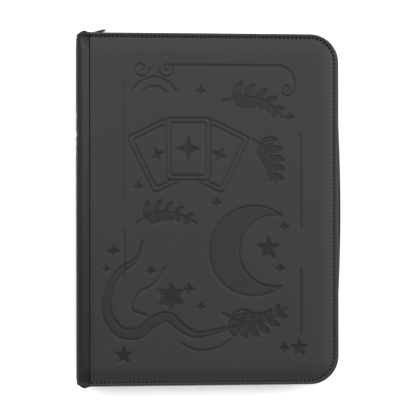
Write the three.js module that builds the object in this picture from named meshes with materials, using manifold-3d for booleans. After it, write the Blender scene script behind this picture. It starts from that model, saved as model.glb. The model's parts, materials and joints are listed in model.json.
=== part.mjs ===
// A zip-around trading card binder, closed and lying on its back cover.
//
// Frame: millimetres. +Z is up, through the covers. +Y runs along the spine towards the head of the
// binder, where the zipper slider is parked. +X runs from the spine to the fore-edge. The origin is
// the middle of the face that the binder lies on.
//
// The binder is the same above and below its middle plane, so most pieces are drawn once for one
// half, with heights measured from that plane, and placed twice: in frontHalf as drawn, and in
// backHalf turned over about X.

import * as THREE from 'three'
import { mergeVertices } from 'three/addons/utils/BufferGeometryUtils.js'
import Module from 'manifold-3d'

const wasm = await Module()
wasm.setup()

// ---- driving dimensions --------------------------------------------------------------------------

const BINDER_WIDTH = 269          // spine face to the fullest point of the zipper
const BINDER_THICKNESS = 40
const COVER_LENGTH = 354          // along the spine
const COVER_EDGE_INSET = 4.5      // the zipper's bulge stands this far beyond the fore-edge
const CORNER_RADIUS = 29          // the two fore-edge corners
const SEAM_FROM_SPINE = 13        // spine face to the seam between spine leather and cover

const LEATHER = 0.9
const FOAM = 3
const BOARD = 2
const LINING = 0.6
const GLUE_LINE = 0.2             // clear gap between laminated layers
const RIM_WIDTH = 5               // edge of the cover to the line of stitching
const RIM_THICKNESS = 3.8
const RIM_ROUND = 1
const PAD_ROLL_OFF = 16           // width of the padded cover's rounded shoulder
const POCKET_CLEARANCE = 0.3      // between a pocket's wall and the piece in it

const HINGE_RADIUS = 7            // outer radius of the leather where it turns from spine to cover
const HINGE_INSET = 2.5           // the spine flaps lie this far inside the covers' outer faces
const SPINE_LEATHER = 1
const SPINE_BOARD = 1.5
const SPINE_LENGTH = 348
const FLAP_LENGTH = 352

const WALL_INSET = 2.4            // edge of the cover to the middle of the zipper tape
const TAPE = 0.8
const TAPE_START = 3.5            // spine face to the cut end of the zipper tapes
const FORE_EDGE_BOW = 5.7         // how far the row of teeth bulges at the middle of the fore-edge
const RIM_BOW = 0.8               // how far the tape bulges where it is sewn under the rim
const TEETH_WIDTH = 2.4
const TEETH_LOW = 0.5             // height of the row of teeth above the middle plane
const TEETH_HIGH = 2.6
const TEETH_START = 18.5

const SLIDER_START = 6
const SLIDER_LENGTH = 11
const SLIDER_HEIGHT = 10
const SLIDER_PLATE = 1
const PULL_LENGTH = 16.5          // pivot to tip
const PULL_WIDTH = 6
const PULL_REST_ANGLE = THREE.MathUtils.degToRad(11)

const LEAF_COUNT = 20
const LEAF_PITCH = 1.2
const LEAF_THICKNESS = 0.9
const LEAF_LENGTH = 302
const LEAF_START = 19.2           // spine face to the bound edge of the leaves
const LEAF_END = 250.5
const LEAF_CORNER = 4
const LEAF_AXIS = 17.6            // spine face to the axis that every leaf turns about

const ARC_STEPS = 8               // facets in a quarter turn of the cover's outline
const BOW_STEPS = 12

// ---- derived places ------------------------------------------------------------------------------

const MID_Z = BINDER_THICKNESS / 2
const SPINE_X = -BINDER_WIDTH / 2
const SEAM_X = SPINE_X + SEAM_FROM_SPINE
const EDGE_X = BINDER_WIDTH / 2 - COVER_EDGE_INSET
const COVER_HALF = COVER_LENGTH / 2
const WALL_Y = COVER_HALF - WALL_INSET

// Heights of one cover's layers above the middle plane, from the outside in.
const OUTER_W = MID_Z
const FOAM_TOP_W = OUTER_W - LEATHER - GLUE_LINE
const FOAM_LOW_W = FOAM_TOP_W - FOAM
const BOARD_TOP_W = FOAM_LOW_W - GLUE_LINE
const BOARD_LOW_W = BOARD_TOP_W - BOARD
const LINING_TOP_W = BOARD_LOW_W - GLUE_LINE
const INNER_W = LINING_TOP_W - LINING
const FLAP_TOP_W = OUTER_W - HINGE_INSET

// ---- materials -----------------------------------------------------------------------------------

function finish(color, roughness, metalness = 0) {
  return new THREE.MeshStandardMaterial({ color, roughness, metalness })
}

const leather = finish(0x3b3b3f, 0.55)
const spineLeather = finish(0x303034, 0.55)
const foam = finish(0x8a8a86, 0.95)
const board = finish(0x7d7363, 0.9)
const lining = finish(0x232325, 0.85)
const tapeCloth = finish(0x161618, 0.85)
const teethPlastic = finish(0x1c1c1f, 0.45)
const sliderMetal = finish(0x2a2a2c, 0.35, 0.8)
const leafPlastic = finish(0x1a1b1e, 0.4)
const bindingCloth = finish(0x202022, 0.9)

// ---- helpers -------------------------------------------------------------------------------------

// A closed geometry as a solid that can be cut and joined.
function toSolid(geometry) {
  const bare = geometry.clone()
  bare.deleteAttribute('normal')
  bare.deleteAttribute('uv')
  const merged = mergeVertices(bare)
  const vertProperties = Float32Array.from(merged.getAttribute('position').array)
  const triVerts = Uint32Array.from(merged.getIndex().array)
  return new wasm.Manifold(new wasm.Mesh({ numProp: 3, vertProperties, triVerts }))
}

function toGeometry(solid) {
  const mesh = solid.getMesh()
  const geometry = new THREE.BufferGeometry()
  geometry.setAttribute('position', new THREE.BufferAttribute(mesh.vertProperties, 3))
  geometry.setIndex(new THREE.BufferAttribute(mesh.triVerts, 1))
  return geometry
}

function box(x, y, z) {
  const geometry = new THREE.BoxGeometry(x[1] - x[0], y[1] - y[0], z[1] - z[0])
  return geometry.translate((x[0] + x[1]) / 2, (y[0] + y[1]) / 2, (z[0] + z[1]) / 2)
}

// A flat outline raised from height low to height high.
function slab(shape, low, high) {
  const options = { depth: high - low, bevelEnabled: false, curveSegments: ARC_STEPS }
  return new THREE.ExtrudeGeometry(shape, options).translate(0, 0, low)
}

// A section drawn in X and Z, run along Y and centred on Y = 0.
function alongSpine(section, length) {
  const options = { depth: length, bevelEnabled: false, curveSegments: ARC_STEPS }
  const bar = new THREE.ExtrudeGeometry(section, options)
  return bar.rotateX(Math.PI / 2).translate(0, length / 2, 0)
}

// The covers' outline: square at the spine, round at the fore-edge, drawn in from the cover's edge.
function coverOutline(left, inset) {
  const right = EDGE_X - inset
  const half = COVER_HALF - inset
  const radius = CORNER_RADIUS - inset
  const shape = new THREE.Shape()
  shape.moveTo(left, -half)
  shape.lineTo(right - radius, -half)
  shape.absarc(right - radius, radius - half, radius, -Math.PI / 2, 0)
  shape.absarc(right - radius, half - radius, radius, 0, Math.PI / 2)
  shape.lineTo(left, half)
  return shape
}

// A plate with a rounded upper edge on its three free sides, cut off square at the spine side.
function roundedPlate({ left, inset, low, high, rollOff, rise, steps }) {
  const overshoot = left - 2 * PAD_ROLL_OFF
  const options = {
    depth: high - low,
    bevelEnabled: true,
    bevelSize: rollOff,
    bevelOffset: -rollOff,
    bevelThickness: rise,
    bevelSegments: steps,
    curveSegments: ARC_STEPS,
  }
  const plate = new THREE.ExtrudeGeometry(coverOutline(overshoot, inset), options)
  plate.translate(0, 0, low - rise)
  const keep = box([left, BINDER_WIDTH], [-COVER_LENGTH, COVER_LENGTH], [low, BINDER_THICKNESS])
  return toSolid(plate).intersect(toSolid(keep))
}

// The line of the zipper: along the head, round the corner, down the bowed fore-edge and back along
// the tail, offset outwards from the middle of the tape.
function zipperLine(start, offset, bow) {
  const right = EDGE_X - WALL_INSET + offset
  const half = WALL_Y + offset
  const radius = CORNER_RADIUS - WALL_INSET + offset
  const straight = half - radius
  const line = new THREE.Path()
  line.moveTo(SPINE_X + start, half)
  line.lineTo(right - radius, half)
  line.absarc(right - radius, straight, radius, Math.PI / 2, 0, true)
  for (let step = 1; step < BOW_STEPS; step += 1) {
    const y = straight * (1 - (2 * step) / BOW_STEPS)
    const share = Math.cos((Math.PI * y) / (2 * straight))
    line.lineTo(right + bow * share, y)
  }
  line.absarc(right - radius, -straight, radius, 0, -Math.PI / 2, true)
  line.lineTo(SPINE_X + start, -half)
  return line.getPoints(ARC_STEPS)
}

// A band that stands on the zipper's line. Its foot and its head can bulge by different amounts.
function zipperBand({ start, width, low, high, lowBow, highBow }) {
  const rails = [
    zipperLine(start, -width / 2, lowBow).map((point) => [point.x, point.y, low]),
    zipperLine(start, width / 2, lowBow).map((point) => [point.x, point.y, low]),
    zipperLine(start, width / 2, highBow).map((point) => [point.x, point.y, high]),
    zipperLine(start, -width / 2, highBow).map((point) => [point.x, point.y, high]),
  ]
  const sides = rails.length
  const stations = rails[0].length
  const positions = []
  for (let station = 0; station < stations; station += 1) {
    for (const rail of rails) positions.push(...rail[station])
  }
  const faces = [0, 3, 2, 0, 2, 1]
  for (let station = 0; station < stations - 1; station += 1) {
    for (let side = 0; side < sides; side += 1) {
      const a = station * sides + side
      const b = station * sides + ((side + 1) % sides)
      faces.push(a, b, b + sides, a, b + sides, a + sides)
    }
  }
  const end = (stations - 1) * sides
  faces.push(end, end + 1, end + 2, end, end + 2, end + 3)
  const geometry = new THREE.BufferGeometry()
  geometry.setAttribute('position', new THREE.Float32BufferAttribute(positions, 3))
  geometry.setIndex(faces)
  return geometry
}

function addPiece(parent, name, geometry, material) {
  const mesh = new THREE.Mesh(geometry, material)
  mesh.name = name
  parent.add(mesh)
  return mesh
}

// ---- one cover, drawn above the middle plane -----------------------------------------------------

// A tray of leather: a padded panel with a thinner rim, hollow from its inner side for the layers.
function coverLeather() {
  const left = SEAM_X + POCKET_CLEARANCE / 2
  const rim = roundedPlate({
    left,
    inset: 0,
    low: INNER_W,
    high: INNER_W + RIM_THICKNESS,
    rollOff: RIM_ROUND,
    rise: RIM_ROUND,
    steps: 2,
  })
  const pad = roundedPlate({
    left,
    inset: RIM_WIDTH,
    low: INNER_W,
    high: OUTER_W,
    rollOff: PAD_ROLL_OFF,
    rise: OUTER_W - INNER_W - RIM_THICKNESS,
    steps: 4,
  })
  const hollow = roundedPlate({
    left: left + LEATHER,
    inset: RIM_WIDTH + LEATHER + GLUE_LINE,
    low: INNER_W - LEATHER,
    high: OUTER_W - LEATHER,
    rollOff: PAD_ROLL_OFF - LEATHER - GLUE_LINE,
    rise: FOAM,
    steps: 4,
  })
  return toGeometry(rim.add(pad).subtract(hollow))
}

const POCKET_INSET = RIM_WIDTH + LEATHER + GLUE_LINE + POCKET_CLEARANCE
const POCKET_LEFT = SEAM_X + POCKET_CLEARANCE / 2 + LEATHER + POCKET_CLEARANCE

function coverFoam() {
  return toGeometry(
    roundedPlate({
      left: POCKET_LEFT,
      inset: POCKET_INSET,
      low: FOAM_LOW_W,
      high: FOAM_TOP_W,
      rollOff: PAD_ROLL_OFF - POCKET_INSET + RIM_WIDTH,
      rise: FOAM - GLUE_LINE,
      steps: 4,
    })
  )
}

function coverBoard() {
  return slab(coverOutline(POCKET_LEFT, POCKET_INSET), BOARD_LOW_W, BOARD_TOP_W)
}

function coverLining() {
  return slab(coverOutline(POCKET_LEFT, POCKET_INSET), INNER_W, LINING_TOP_W)
}

function zipperTape() {
  return zipperBand({
    start: TAPE_START,
    width: TAPE,
    low: TEETH_HIGH + POCKET_CLEARANCE,
    high: INNER_W - GLUE_LINE,
    lowBow: FORE_EDGE_BOW,
    highBow: RIM_BOW,
  })
}

function zipperTeeth() {
  return zipperBand({
    start: TEETH_START,
    width: TEETH_WIDTH,
    low: TEETH_LOW,
    high: TEETH_HIGH,
    lowBow: FORE_EDGE_BOW,
    highBow: FORE_EDGE_BOW,
  })
}

// The leather turns a quarter circle from spine to flap. It is cut at the middle of the turn, where
// the fold is, and each half belongs to the piece that it moves with.
const HINGE_X = SPINE_X + HINGE_RADIUS
const HINGE_W = FLAP_TOP_W - HINGE_RADIUS
const HINGE_INNER = HINGE_RADIUS - SPINE_LEATHER
const HALF_CUT = POCKET_CLEARANCE / HINGE_RADIUS
const FOLD_ANGLE = 0.75 * Math.PI

function spineFlap() {
  const end = SEAM_X - POCKET_CLEARANCE / 2
  const section = new THREE.Shape()
  section.absarc(HINGE_X, HINGE_W, HINGE_RADIUS, FOLD_ANGLE - HALF_CUT, Math.PI / 2, true)
  section.lineTo(end, FLAP_TOP_W)
  section.lineTo(end, FLAP_TOP_W - SPINE_LEATHER)
  section.absarc(HINGE_X, HINGE_W, HINGE_INNER, Math.PI / 2, FOLD_ANGLE - HALF_CUT)
  return alongSpine(section, FLAP_LENGTH)
}

// A small block clamped on the tape where the row of teeth ends, at the head or the tail.
function stopBlock(wall, start, end, low, high) {
  const half = TEETH_WIDTH / 2
  const x = [SPINE_X + start, SPINE_X + end]
  return box(x, [wall - half, wall + half], [low, high])
}

function addCover(half, side) {
  addPiece(half, `${side}_cover_leather`, coverLeather(), leather)
  addPiece(half, `${side}_cover_foam`, coverFoam(), foam)
  addPiece(half, `${side}_cover_board`, coverBoard(), board)
  addPiece(half, `${side}_cover_lining`, coverLining(), lining)
  addPiece(half, `spine_flap_${side}`, spineFlap(), spineLeather)
  addPiece(half, `zipper_tape_${side}`, zipperTape(), tapeCloth)
  addPiece(half, `zipper_teeth_${side}`, zipperTeeth(), teethPlastic)
}

// ---- the spine -----------------------------------------------------------------------------------

function spineLeatherGeometry() {
  const lowFold = 2 * Math.PI - FOLD_ANGLE - HALF_CUT
  const highFold = FOLD_ANGLE + HALF_CUT
  const section = new THREE.Shape()
  section.absarc(HINGE_X, HINGE_W, HINGE_RADIUS, highFold, Math.PI)
  section.absarc(HINGE_X, -HINGE_W, HINGE_RADIUS, Math.PI, lowFold)
  section.absarc(HINGE_X, -HINGE_W, HINGE_INNER, lowFold, Math.PI, true)
  section.absarc(HINGE_X, HINGE_W, HINGE_INNER, Math.PI, highFold, true)
  return alongSpine(section, SPINE_LENGTH)
}

const BOARD_X = SPINE_X + SPINE_LEATHER + GLUE_LINE
const SPINE_LINING_X = BOARD_X + SPINE_BOARD + POCKET_CLEARANCE
const SPINE_INNER_X = SPINE_LINING_X + LINING
const SPINE_LINING_HALF = 12
const GUSSET = 0.8
const TAB_HALF = HINGE_W + 1      // the end tabs reach just past the spine's flat face

function addSpine(middle) {
  const y = [-SPINE_LENGTH / 2, SPINE_LENGTH / 2]
  const boardGeometry = box([BOARD_X, BOARD_X + SPINE_BOARD], y, [-HINGE_W, HINGE_W])
  const liningZ = [-SPINE_LINING_HALF, SPINE_LINING_HALF]
  const liningGeometry = box([SPINE_LINING_X, SPINE_INNER_X], y, liningZ)
  const gussetX = [SPINE_INNER_X + POCKET_CLEARANCE, SPINE_X + LEAF_AXIS - GUSSET / 2]
  const gussetY = [-LEAF_LENGTH / 2, LEAF_LENGTH / 2]
  const gussetGeometry = box(gussetX, gussetY, [-GUSSET / 2, GUSSET / 2])
  addPiece(middle, 'spine_leather', spineLeatherGeometry(), spineLeather)
  addPiece(middle, 'spine_board', boardGeometry, board)
  addPiece(middle, 'spine_lining', liningGeometry, lining)
  addPiece(middle, 'page_gusset', gussetGeometry, bindingCloth)
  for (const [name, side] of [['top', 1], ['bottom', -1]]) {
    const tab = box(
      [SPINE_X + LEATHER, SPINE_X + TAPE_START - POCKET_CLEARANCE],
      [-TAPE / 2, TAPE / 2],
      [-TAB_HALF, TAB_HALF]
    )
    addPiece(middle, `spine_end_tab_${name}`, tab, spineLeather).position.y = side * WALL_Y
  }
}

// ---- zipper slider and stops ---------------------------------------------------------------------

const CHANNEL_HALF = TEETH_WIDTH / 2 + POCKET_CLEARANCE
const PLATE_OUTER = CHANNEL_HALF + SLIDER_PLATE
const FLANGE_REACH = 0.7          // the flanges turn in from the plates towards the tape
const POST_LENGTH = 2.5
const POST_HALF_HEIGHT = 0.25

// Two plates either side of the teeth, joined by a post at the end that meets the open teeth, with
// flanges that turn in over the teeth and leave a slot for the tape.
function sliderBody() {
  const x = [SPINE_X + SLIDER_START, SPINE_X + SLIDER_START + SLIDER_LENGTH]
  const top = SLIDER_HEIGHT / 2
  const flangeLow = top - SLIDER_PLATE
  const postX = [x[0], x[0] + POST_LENGTH]
  const post = box(postX, [-PLATE_OUTER, PLATE_OUTER], [-POST_HALF_HEIGHT, POST_HALF_HEIGHT])
  let body = toSolid(post)
  for (const side of [-1, 1]) {
    const inOrder = (a, b) => [side * a, side * b].sort((p, q) => p - q)
    const plate = box(x, inOrder(CHANNEL_HALF, PLATE_OUTER), [-top, top])
    body = body.add(toSolid(plate))
    for (const end of [-1, 1]) {
      const z = [end * flangeLow, end * top].sort((p, q) => p - q)
      const flange = box(x, inOrder(CHANNEL_HALF - FLANGE_REACH, PLATE_OUTER), z)
      body = body.add(toSolid(flange))
    }
  }
  return toGeometry(body)
}

const PULL_PIVOT_FROM_SPINE = 13.2
const PULL_PIVOT_RISE = 0.9       // the pull's pivot stands this far off the slider's plate
const PULL_PIVOT_X = SPINE_X + PULL_PIVOT_FROM_SPINE
const PULL_PIVOT_Y = WALL_Y + PLATE_OUTER + PULL_PIVOT_RISE
const PULL_THICKNESS = 1
const BAIL_GAP = 0.1
const BAIL_WIDTH = 1.6
const BAIL_BAR = 0.5
const BAIL_RISE = 2
const BAIL_BACK = 3.2             // pivot to the far face of the bail's rear foot
const BAIL_FRONT = 2.4
const BAIL_FOOT = 0.9

// The bail is a low arch on the outer plate. The pull tab's cross bar turns under it.
function sliderBail() {
  const foot = WALL_Y + PLATE_OUTER + BAIL_GAP
  const crown = foot + BAIL_RISE
  const bend = BAIL_FOOT
  const back = PULL_PIVOT_X - BAIL_BACK
  const front = PULL_PIVOT_X + BAIL_FRONT
  const arch = new THREE.Shape()
  arch.moveTo(back, foot)
  arch.lineTo(back + BAIL_FOOT, foot)
  arch.lineTo(back + BAIL_FOOT, crown - BAIL_BAR)
  arch.lineTo(front - BAIL_FOOT, crown - BAIL_BAR)
  arch.lineTo(front - BAIL_FOOT, foot)
  arch.lineTo(front, foot)
  arch.absarc(front - bend, crown - bend, bend, 0, Math.PI / 2)
  arch.absarc(back + bend, crown - bend, bend, Math.PI / 2, Math.PI)
  return slab(arch, -BAIL_WIDTH / 2, BAIL_WIDTH / 2)
}

const PULL_EYE_END = 5.2          // pivot to the end of the eye that the bail passes through
const PULL_EYE_HALF = 1.3
const PULL_BAR_HALF = 0.45
const PULL_ROOT_SHARE = 0.75      // width of the eye's end, as a share of the tab's width

// A flat tab with an eye at its root, drawn along X from its pivot with its width along Z.
function pullTab() {
  const half = PULL_WIDTH / 2
  const rootHalf = half * PULL_ROOT_SHARE
  const root = -PULL_BAR_HALF
  const outline = new THREE.Shape()
  outline.moveTo(root, -rootHalf)
  outline.lineTo(PULL_EYE_END, -rootHalf)
  outline.absarc(PULL_LENGTH - half, 0, half, -Math.PI / 2, Math.PI / 2)
  outline.lineTo(PULL_EYE_END, rootHalf)
  outline.lineTo(root, rootHalf)
  const eye = new THREE.Path()
  eye.moveTo(PULL_BAR_HALF, -PULL_EYE_HALF)
  eye.lineTo(PULL_BAR_HALF, PULL_EYE_HALF)
  eye.lineTo(PULL_EYE_END, PULL_EYE_HALF)
  eye.lineTo(PULL_EYE_END, -PULL_EYE_HALF)
  outline.holes.push(eye)
  return slab(outline, -PULL_THICKNESS / 2, PULL_THICKNESS / 2).rotateX(Math.PI / 2)
}

const TOP_STOP_GAP = 0.1          // cut end of the tape to the top stops
const BOTTOM_STOP_GAP = 0.5       // last teeth to the bottom stop
const BOTTOM_STOP_LENGTH = 2

function addZipperHardware(middle) {
  addPiece(middle, 'zipper_slider_body', sliderBody(), sliderMetal).position.y = WALL_Y
  addPiece(middle, 'zipper_slider_bail', sliderBail(), sliderMetal)
  const pull = addPiece(middle, 'zipper_pull_tab', pullTab(), sliderMetal)
  pull.position.set(PULL_PIVOT_X, PULL_PIVOT_Y, 0)
  pull.rotation.z = PULL_REST_ANGLE
  const topStart = TAPE_START + TOP_STOP_GAP
  const topEnd = SLIDER_START - POCKET_CLEARANCE
  const topFront = stopBlock(WALL_Y, topStart, topEnd, TEETH_LOW, TEETH_HIGH)
  const topBack = stopBlock(WALL_Y, topStart, topEnd, -TEETH_HIGH, -TEETH_LOW)
  addPiece(middle, 'zipper_top_stop_front', topFront, sliderMetal)
  addPiece(middle, 'zipper_top_stop_back', topBack, sliderMetal)
  const bottomEnd = TEETH_START - BOTTOM_STOP_GAP
  const bottomStart = bottomEnd - BOTTOM_STOP_LENGTH
  const bottom = stopBlock(-WALL_Y, bottomStart, bottomEnd, -TEETH_HIGH, TEETH_HIGH)
  addPiece(middle, 'zipper_bottom_stop', bottom, sliderMetal)
}

// ---- pages ---------------------------------------------------------------------------------------

function leafOutline() {
  const left = SPINE_X + LEAF_START
  const right = SPINE_X + LEAF_END
  const half = LEAF_LENGTH / 2
  const round = LEAF_CORNER
  const shape = new THREE.Shape()
  shape.moveTo(left, -half)
  shape.lineTo(right - round, -half)
  shape.absarc(right - round, round - half, round, -Math.PI / 2, 0)
  shape.absarc(right - round, half - round, round, 0, Math.PI / 2)
  shape.lineTo(left, half)
  return shape
}

const BINDING_START = 0.6         // leaf axis to the near face of the binding tapes
const BINDING_END = 1.3

function addPages(middle) {
  for (let leaf = 1; leaf <= LEAF_COUNT; leaf += 1) {
    const height = (leaf - (LEAF_COUNT + 1) / 2) * LEAF_PITCH
    const low = height - LEAF_THICKNESS / 2
    const name = `leaf_${String(leaf).padStart(2, '0')}`
    addPiece(middle, name, slab(leafOutline(), low, low + LEAF_THICKNESS), leafPlastic)
  }
  const reach = (LEAF_COUNT * LEAF_PITCH) / 2
  const axis = SPINE_X + LEAF_AXIS
  const x = [axis + BINDING_START, axis + BINDING_END]
  const y = [-LEAF_LENGTH / 2, LEAF_LENGTH / 2]
  const front = box(x, y, [POCKET_CLEARANCE, reach])
  const back = box(x, y, [-reach, -POCKET_CLEARANCE])
  addPiece(middle, 'binding_tape_front', front, bindingCloth)
  addPiece(middle, 'binding_tape_back', back, bindingCloth)
}

// ---- assembly ------------------------------------------------------------------------------------

const binder = new THREE.Group()
binder.position.z = MID_Z

const frontHalf = new THREE.Group()
addCover(frontHalf, 'front')
binder.add(frontHalf)

const backHalf = new THREE.Group()
backHalf.rotation.x = Math.PI
addCover(backHalf, 'back')
binder.add(backHalf)

addSpine(binder)
addZipperHardware(binder)
addPages(binder)

export default binder
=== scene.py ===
# The looks of a zip-around trading card binder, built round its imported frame.
#
# Lengths in this script are millimetres until a mesh is made; make_piece() turns them into metres.
# "w" is a height above the binder's middle plane. A piece of the back half is made from the same
# points as its twin on the front half, with the sign of w changed.

import json
import math

import bpy
import numpy as np
from mathutils import Matrix, Vector


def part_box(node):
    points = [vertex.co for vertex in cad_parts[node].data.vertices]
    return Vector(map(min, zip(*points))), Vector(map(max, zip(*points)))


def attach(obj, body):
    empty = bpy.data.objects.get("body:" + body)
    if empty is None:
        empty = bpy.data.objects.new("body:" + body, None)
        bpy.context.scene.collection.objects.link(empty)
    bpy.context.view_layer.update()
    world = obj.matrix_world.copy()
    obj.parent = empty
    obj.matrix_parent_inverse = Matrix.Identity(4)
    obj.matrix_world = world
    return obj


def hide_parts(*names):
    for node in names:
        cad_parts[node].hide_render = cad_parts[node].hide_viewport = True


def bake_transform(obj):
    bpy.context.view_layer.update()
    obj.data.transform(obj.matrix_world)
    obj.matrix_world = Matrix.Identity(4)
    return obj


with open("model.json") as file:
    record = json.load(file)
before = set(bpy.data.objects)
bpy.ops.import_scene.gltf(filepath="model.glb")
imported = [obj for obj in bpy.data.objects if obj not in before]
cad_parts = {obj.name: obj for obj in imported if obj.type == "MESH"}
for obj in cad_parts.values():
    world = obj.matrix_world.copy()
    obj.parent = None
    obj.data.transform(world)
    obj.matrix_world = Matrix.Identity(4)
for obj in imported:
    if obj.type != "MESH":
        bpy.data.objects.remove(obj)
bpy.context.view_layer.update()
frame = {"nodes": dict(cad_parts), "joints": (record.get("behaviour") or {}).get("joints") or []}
scene = bpy.context.scene
rng = np.random.default_rng(7)

MM = 0.001
HALVES = ("front", "back")
SHARP_ANGLE = math.radians(62)


def box_mm(node):
    low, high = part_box(node)
    return np.array(low) / MM, np.array(high) / MM


def smooth(t):
    t = np.clip(t, 0.0, 1.0)
    return t * t * (3 - 2 * t)


def bell(distance, width):
    """A soft bump that is 1 at no distance and almost nothing two widths away."""
    return np.exp(-((distance / width) ** 2))


# ---- places read from the frame --------------------------

panel_low, panel_high = box_mm("front_cover_leather")
tape_low, tape_high = box_mm("zipper_tape_front")
lining_low, lining_high = box_mm("front_cover_lining")
leaf_low, leaf_high = box_mm("leaf_20")
slider_low, slider_high = box_mm("zipper_slider_body")

MID_Z = panel_high[2] / 2
SPINE_X = box_mm("spine_leather")[0][0]
SEAM_LAP = 0.9  # how far the spine's leather laps over the cover's edge
SEAM_X = panel_low[0] + SEAM_LAP
EDGE_X = panel_high[0]
HALF = panel_high[1]
OUTER_W = panel_high[2] - MID_Z
INNER_W = panel_low[2] - MID_Z
CORNER = 29.0
CORNER_X, CORNER_Y = EDGE_X - CORNER, HALF - CORNER
RIM_W = INNER_W + 3.9
TAPE = 0.8
WALL_Y = tape_high[1] - TAPE / 2
WALL_INSET = HALF - WALL_Y
BOW = tape_high[0] - TAPE / 2 - (EDGE_X - WALL_INSET)  # the zipper's bulge at the fore-edge
RIM_BOW = 0.8
FOLD_OUT_W = 3.5

STITCH_INSET = 4.2
STITCH_PITCH = 4.2
ROLL_OFF = 17.0

# ---- making pieces ---------------------------------------


def link_new(name, data):
    item = bpy.data.objects.new(name, data)
    scene.collection.objects.link(item)
    return item


def keep_rest(mesh):
    """Stores each point's place at rest, which the materials' patterns follow when a piece bends."""
    co = np.zeros(len(mesh.vertices) * 3, np.float32)
    mesh.vertices.foreach_get("co", co)
    mesh.attributes.new("rest", "FLOAT_VECTOR", "POINT").data.foreach_set("vector", co)


def turned(faces):
    return [tuple(reversed(f)) for f in faces]


def make_piece(name, verts, faces, material, half="front", smooth_shade=True):
    """verts are (x, y, w) in millimetres. A piece of the back half is turned over the middle plane."""
    verts = np.array(verts, float).reshape(-1, 3)
    if half == "back":
        verts[:, 2] *= -1
        faces = turned(faces)
    verts[:, 2] += MID_Z
    mesh = bpy.data.meshes.new(name)
    mesh.from_pydata((verts * MM).tolist(), [], [tuple(int(i) for i in f) for f in faces])
    mesh.update()
    keep_rest(mesh)
    if smooth_shade:
        mesh.shade_smooth()
        mesh.set_sharp_from_angle(angle=SHARP_ANGLE)
    mesh.materials.append(material)
    return link_new(name, mesh)


def belongs(piece, slot, body, *nodes):
    """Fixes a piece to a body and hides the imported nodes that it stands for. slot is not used."""
    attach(piece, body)
    if nodes:
        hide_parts(*nodes)


def mark(piece, name, values):
    attribute = piece.data.attributes.new(name, "FLOAT", "POINT")
    attribute.data.foreach_set("value", np.asarray(values, np.float32).ravel())


def grid_faces(rows, columns, start=0, closed=False):
    """Quads of a grid stored row by row. closed joins each row's last column to its first."""
    faces = []
    span = columns if closed else columns - 1
    for r in range(rows - 1):
        a = start + r * columns
        for c in range(span):
            d = (c + 1) % columns
            faces.append((a + c, a + d, a + columns + d, a + columns + c))
    return faces


def loft_faces(rows, count):
    """The walls and the two end caps of a closed section that is repeated row by row."""
    last = (rows - 1) * count
    caps = [tuple(reversed(range(count))), tuple(range(last, last + count))]
    return grid_faces(rows, count, closed=True) + caps


def rim_loop(rows, columns):
    """The points round the edge of a grid that is stored row by row."""
    return [*range(columns), *range(2 * columns - 1, rows * columns, columns),
            *range(rows * columns - 2, (rows - 1) * columns - 1, -1),
            *range((rows - 2) * columns, 0, -columns)]


def wall_faces(one, other):
    """Quads between two closed loops of points."""
    return list(zip(one, other, other[1:] + other[:1], one[1:] + one[:1]))


def slab_faces(rows, columns):
    """Two grids, one behind the other, and the wall round their edges."""
    size = rows * columns
    loop = rim_loop(rows, columns)
    back = turned(grid_faces(rows, columns, start=size))
    return grid_faces(rows, columns) + back + wall_faces(loop, [size + i for i in loop])


def join_parts(parts):
    """Several (points, faces) as one."""
    faces, start = [], 0
    for points, part_faces in parts:
        faces.extend(tuple(start + i for i in f) for f in part_faces)
        start += len(points)
    return np.vstack([points for points, part_faces in parts]), faces


def points_of(x, y, w):
    """The points of a grid, from coordinates that may be the same along its rows or columns."""
    return np.dstack(np.broadcast_arrays(x, y, w)).reshape(-1, 3)


def sweep(line, sideways, section):
    """The points of a section of (sideways, w) pairs at each point of a level line."""
    offset, w = np.array(section, float).T
    level = line[:, None] + sideways[:, None] * offset[:, None]
    return np.dstack([level, np.broadcast_to(w, level.shape[:2])])


def left_of(curve):
    """The unit vector to the left of a curve at each of its points."""
    step = np.gradient(curve, axis=0)
    step /= np.linalg.norm(step, axis=1)[:, None]
    return np.column_stack([-step[:, 1], step[:, 0]])


def offset_curve(curve, distance):
    return curve + left_of(curve) * np.reshape(distance, (-1, 1))


# ---- materials -------------------------------------------


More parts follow.
